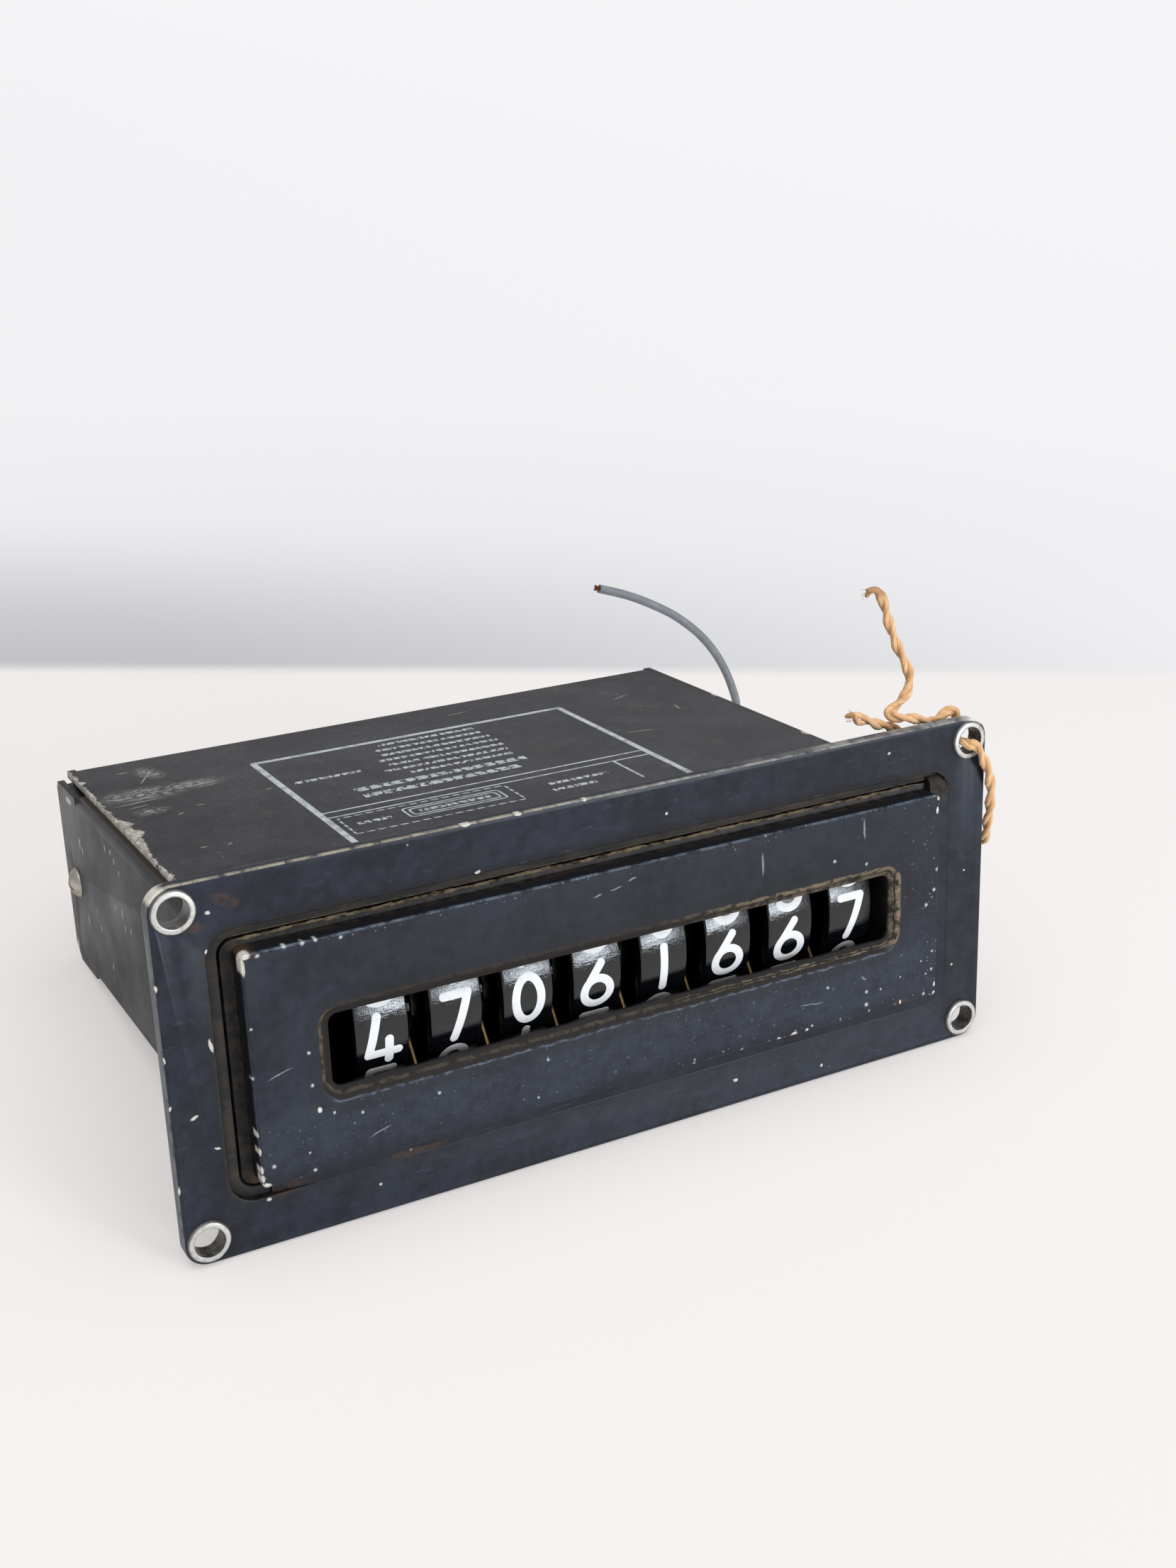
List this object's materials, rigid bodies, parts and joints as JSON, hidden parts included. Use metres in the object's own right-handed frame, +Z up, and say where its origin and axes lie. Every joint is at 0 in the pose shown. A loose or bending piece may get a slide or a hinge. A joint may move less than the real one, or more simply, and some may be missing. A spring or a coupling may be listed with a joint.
{
  "type": "industrial counter",
  "caption": "Panel-mounted counter: a framed window shows a row of number wheels in a folded sheet-metal case behind a plate with corner eyelets; a lead leaves the back.",
  "frame": {"origin": "bottom centre of the box round the counter without its cords: the middle of the front plate's width, the level of its lower edge, halfway between the raised panel's face and the nose of the grommet at the back", "axes": "+X to the right along the number wheels as they are read, +Y from the face back into the case, +Z up"},
  "size_m": [0.1449, 0.0992, 0.0706],
  "materials": {
    "panel_paint": "dark blue-grey paint, worn at the edges and chipped",
    "eyelet_metal": "dull plated brass, worn",
    "gasket_rubber": "matte black under brown dust",
    "case_paint": "matte mid-grey paint, scratched and dusty",
    "cover_paint": "satin dark grey paint, worn along the left edge",
    "screw_steel": "dull plated steel",
    "grommet_rubber": "matte black",
    "wire_insulation": "grey insulation",
    "twine": "coarse two-strand tan twine",
    "black_steel": "blackened sheet steel",
    "bright_steel": "ground steel",
    "gear_brass": "dulled brass",
    "motor_steel": "zinc-plated steel can",
    "wheel_plastic": "gloss black with white numerals"
  },
  "bodies": {
    "case": {"front_plate": "panel_paint", "eyelets": "eyelet_metal", "bezel": "panel_paint", "bezel_gasket": "gasket_rubber", "chassis_tray": "case_paint", "top_cover": "cover_paint", "side_screws": "screw_steel", "wire_grommet": "grommet_rubber", "lead_wire": "wire_insulation", "tag_twine": "twine", "left_bearing_plate": "black_steel", "right_bearing_plate": "black_steel", "frame_screws": "screw_steel", "frame_nuts": "screw_steel", "wheel_shaft": "bright_steel", "pinion_shaft": "bright_steel", "front_rod": "bright_steel", "shaft_clips": "bright_steel", "wheel_spacers": "gear_brass", "pinion_sleeves": "bright_steel", "idler_stud": "bright_steel", "motor": "motor_steel", "motor_posts": "bright_steel", "motor_screws": "screw_steel", "carrier_plate_1": "gear_brass", "carrier_plate_2": "gear_brass", "carrier_plate_3": "gear_brass", "carrier_plate_4": "gear_brass", "carrier_plate_5": "gear_brass", "carrier_plate_6": "gear_brass", "carrier_plate_7": "gear_brass"},
    "wheel_1": {"number_wheel_1": "wheel_plastic"},
    "wheel_2": {"number_wheel_2": "wheel_plastic"},
    "wheel_3": {"number_wheel_3": "wheel_plastic"},
    "wheel_4": {"number_wheel_4": "wheel_plastic"},
    "wheel_5": {"number_wheel_5": "wheel_plastic"},
    "wheel_6": {"number_wheel_6": "wheel_plastic"},
    "wheel_7": {"number_wheel_7": "wheel_plastic"},
    "wheel_8": {"number_wheel_8": "wheel_plastic"},
    "pinion_1": {"transfer_pinion_1": "gear_brass"},
    "pinion_2": {"transfer_pinion_2": "gear_brass"},
    "pinion_3": {"transfer_pinion_3": "gear_brass"},
    "pinion_4": {"transfer_pinion_4": "gear_brass"},
    "pinion_5": {"transfer_pinion_5": "gear_brass"},
    "pinion_6": {"transfer_pinion_6": "gear_brass"},
    "pinion_7": {"transfer_pinion_7": "gear_brass"},
    "idler": {"idler_gear": "gear_brass"},
    "motor_rotor": {"motor_shaft": "bright_steel", "motor_pinion": "gear_brass"}
  },
  "joints": [
    {"name": "wheel_1_spin", "type": "hinge", "parent": "case", "child": "wheel_1", "pos_m": [-0.03435, -0.0268, 0.0254], "axis": [-1, 0, 0], "continuous": true},
    {"name": "wheel_2_spin", "type": "hinge", "parent": "case", "child": "wheel_2", "pos_m": [-0.02388, -0.0268, 0.0254], "axis": [-1, 0, 0], "continuous": true},
    {"name": "wheel_3_spin", "type": "hinge", "parent": "case", "child": "wheel_3", "pos_m": [-0.01341, -0.0268, 0.0254], "axis": [-1, 0, 0], "continuous": true},
    {"name": "wheel_4_spin", "type": "hinge", "parent": "case", "child": "wheel_4", "pos_m": [-0.00294, -0.0268, 0.0254], "axis": [-1, 0, 0], "continuous": true},
    {"name": "wheel_5_spin", "type": "hinge", "parent": "case", "child": "wheel_5", "pos_m": [0.00754, -0.0268, 0.0254], "axis": [-1, 0, 0], "continuous": true},
    {"name": "wheel_6_spin", "type": "hinge", "parent": "case", "child": "wheel_6", "pos_m": [0.01801, -0.0268, 0.0254], "axis": [-1, 0, 0], "continuous": true},
    {"name": "wheel_7_spin", "type": "hinge", "parent": "case", "child": "wheel_7", "pos_m": [0.02848, -0.0268, 0.0254], "axis": [-1, 0, 0], "continuous": true},
    {"name": "wheel_8_spin", "type": "hinge", "parent": "case", "child": "wheel_8", "pos_m": [0.03895, -0.0268, 0.0254], "axis": [-1, 0, 0], "continuous": true},
    {"name": "pinion_1_spin", "type": "hinge", "parent": "case", "child": "pinion_1", "pos_m": [-0.02911, -0.01482, 0.01732], "axis": [-1, 0, 0], "continuous": true},
    {"name": "pinion_2_spin", "type": "hinge", "parent": "case", "child": "pinion_2", "pos_m": [-0.01864, -0.01482, 0.01732], "axis": [-1, 0, 0], "continuous": true},
    {"name": "pinion_3_spin", "type": "hinge", "parent": "case", "child": "pinion_3", "pos_m": [-0.00817, -0.01482, 0.01732], "axis": [-1, 0, 0], "continuous": true},
    {"name": "pinion_4_spin", "type": "hinge", "parent": "case", "child": "pinion_4", "pos_m": [0.0023, -0.01482, 0.01732], "axis": [-1, 0, 0], "continuous": true},
    {"name": "pinion_5_spin", "type": "hinge", "parent": "case", "child": "pinion_5", "pos_m": [0.01277, -0.01482, 0.01732], "axis": [-1, 0, 0], "continuous": true},
    {"name": "pinion_6_spin", "type": "hinge", "parent": "case", "child": "pinion_6", "pos_m": [0.02324, -0.01482, 0.01732], "axis": [-1, 0, 0], "continuous": true},
    {"name": "pinion_7_spin", "type": "hinge", "parent": "case", "child": "pinion_7", "pos_m": [0.03371, -0.01482, 0.01732], "axis": [-1, 0, 0], "continuous": true},
    {"name": "idler_spin", "type": "hinge", "parent": "case", "child": "idler", "pos_m": [0.0443, -0.00616, 0.0254], "axis": [-1, 0, 0], "continuous": true},
    {"name": "motor_spin", "type": "hinge", "parent": "case", "child": "motor_rotor", "pos_m": [0.044, 0.00829, 0.0254], "axis": [-1, 0, 0], "continuous": true}
  ],
  "couplings": [
    {"joint": "wheel_7_spin", "follows": "wheel_8_spin", "ratio": 0.1},
    {"joint": "pinion_7_spin", "follows": "wheel_8_spin", "ratio": -0.25},
    {"joint": "wheel_6_spin", "follows": "wheel_8_spin", "ratio": 0.01},
    {"joint": "pinion_6_spin", "follows": "wheel_8_spin", "ratio": -0.025},
    {"joint": "wheel_5_spin", "follows": "wheel_8_spin", "ratio": 0.001},
    {"joint": "pinion_5_spin", "follows": "wheel_8_spin", "ratio": -0.0025},
    {"joint": "wheel_4_spin", "follows": "wheel_8_spin", "ratio": 0.0001},
    {"joint": "pinion_4_spin", "follows": "wheel_8_spin", "ratio": -0.00025},
    {"joint": "wheel_3_spin", "follows": "wheel_8_spin", "ratio": 0.00001},
    {"joint": "pinion_3_spin", "follows": "wheel_8_spin", "ratio": -0.000025},
    {"joint": "wheel_2_spin", "follows": "wheel_8_spin", "ratio": 0.000001},
    {"joint": "pinion_2_spin", "follows": "wheel_8_spin", "ratio": -0.0000025},
    {"joint": "wheel_1_spin", "follows": "wheel_8_spin", "ratio": 0.0000001},
    {"joint": "pinion_1_spin", "follows": "wheel_8_spin", "ratio": -0.00000025},
    {"joint": "idler_spin", "follows": "wheel_8_spin", "ratio": -1},
    {"joint": "motor_spin", "follows": "wheel_8_spin", "ratio": 2.5}
  ]
}
